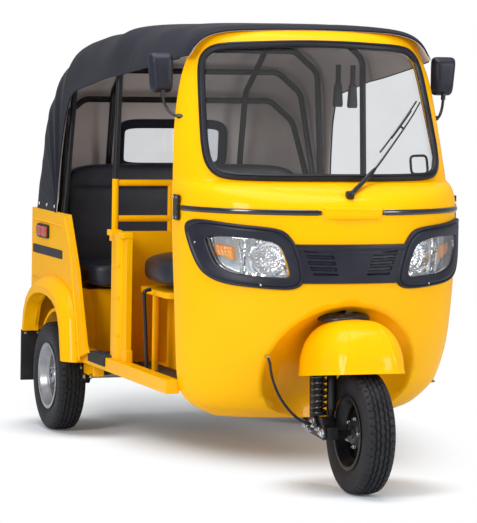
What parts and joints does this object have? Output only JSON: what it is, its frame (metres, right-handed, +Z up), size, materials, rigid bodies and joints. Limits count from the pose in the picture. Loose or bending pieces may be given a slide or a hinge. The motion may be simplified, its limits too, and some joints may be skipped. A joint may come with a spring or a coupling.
{
  "type": "auto rickshaw",
  "caption": "Three-wheeled passenger rickshaw with a rounded yellow cowl, single front wheel, open doorways, bench seats and a dark folding canvas hood.",
  "frame": {"origin": "on the ground under the middle of the whole vehicle's outside box", "axes": "+Z up, -Y towards the front, +X towards the vehicle's left side"},
  "size_m": [1.328, 2.6309, 1.7314],
  "materials": {
    "yellow_body": "gloss",
    "black_gasket": "matt",
    "clear_glass": "clear",
    "black_trim": "satin",
    "lamp_clear": "clear",
    "lamp_colour": "gloss",
    "black_frame": "satin",
    "floor_paint": "satin",
    "seat_vinyl": "satin",
    "hood_canvas": "matt",
    "engine_metal": "matt",
    "steel": "satin",
    "tyre_rubber": "matt",
    "front_rim_paint": "satin",
    "rim_silver": "satin",
    "hose_rubber": "satin"
  },
  "bodies": {
    "chassis": {"brake_hose": "hose_rubber", "dashboard": "black_trim", "drive_shafts": "steel", "driver_seat": "seat_vinyl", "driver_seat_box": "yellow_body", "engine_block": "engine_metal", "floor_pan": "floor_paint", "front_cowl": "yellow_body", "grille_panel": "black_trim", "hand_lever": "black_frame", "headlamps": "lamp_clear", "hinge_plates": "black_frame", "hood_canopy": "hood_canvas", "hood_frame": "black_frame", "lamp_surrounds": "black_trim", "mirrors": "black_trim", "mudflaps": "black_gasket", "partition_frame": "yellow_body", "quarter_panels": "yellow_body", "rear_bumper": "black_frame", "rear_panel": "yellow_body", "rear_seat_back": "seat_vinyl", "rear_seat_base": "yellow_body", "rear_seat_cushion": "seat_vinyl", "rear_springs": "black_frame", "rear_window": "clear_glass", "side_markers": "lamp_colour", "side_posts": "yellow_body", "sills": "yellow_body", "tail_lamps": "lamp_colour", "trailing_arms": "black_frame", "trim_strip": "black_trim", "underframe": "black_frame", "wheel_housings": "yellow_body", "windshield_glass": "clear_glass", "windshield_seal": "black_gasket", "wiper": "black_frame"},
    "steering": {"steering_column": "black_frame", "handlebar": "black_frame", "fork_arm": "black_frame", "front_spring": "black_frame", "front_mudguard": "yellow_body"},
    "front_wheel": {"front_tyre": "tyre_rubber", "front_rim": "front_rim_paint"},
    "rear_wheel_right": {"rear_tyre_right": "tyre_rubber", "rear_rim_right": "rim_silver"},
    "rear_wheel_left": {"rear_tyre_left": "tyre_rubber", "rear_rim_left": "rim_silver"},
    "rear_lid": {"engine_lid": "yellow_body"}
  },
  "joints": [
    {"name": "steering_turn", "type": "hinge", "parent": "chassis", "child": "steering", "pos_m": [0, -1.04288, 0.228], "axis": [0, 0.3746, 0.9272], "range_deg": [-45, 45], "deforming": ["brake_hose"]},
    {"name": "front_wheel_spin", "type": "hinge", "parent": "steering", "child": "front_wheel", "pos_m": [0, -1.08, 0.228], "axis": [1, 0, 0], "continuous": true},
    {"name": "rear_wheel_right_spin", "type": "hinge", "parent": "chassis", "child": "rear_wheel_right", "pos_m": [-0.584, 0.905, 0.228], "axis": [1, 0, 0], "continuous": true},
    {"name": "rear_wheel_left_spin", "type": "hinge", "parent": "chassis", "child": "rear_wheel_left", "pos_m": [0.584, 0.905, 0.228], "axis": [1, 0, 0], "continuous": true},
    {"name": "engine_lid_hinge", "type": "hinge", "parent": "chassis", "child": "rear_lid", "pos_m": [0, 1.27, 0.706], "axis": [1, 0, 0], "range_deg": [0, 75]}
  ]
}
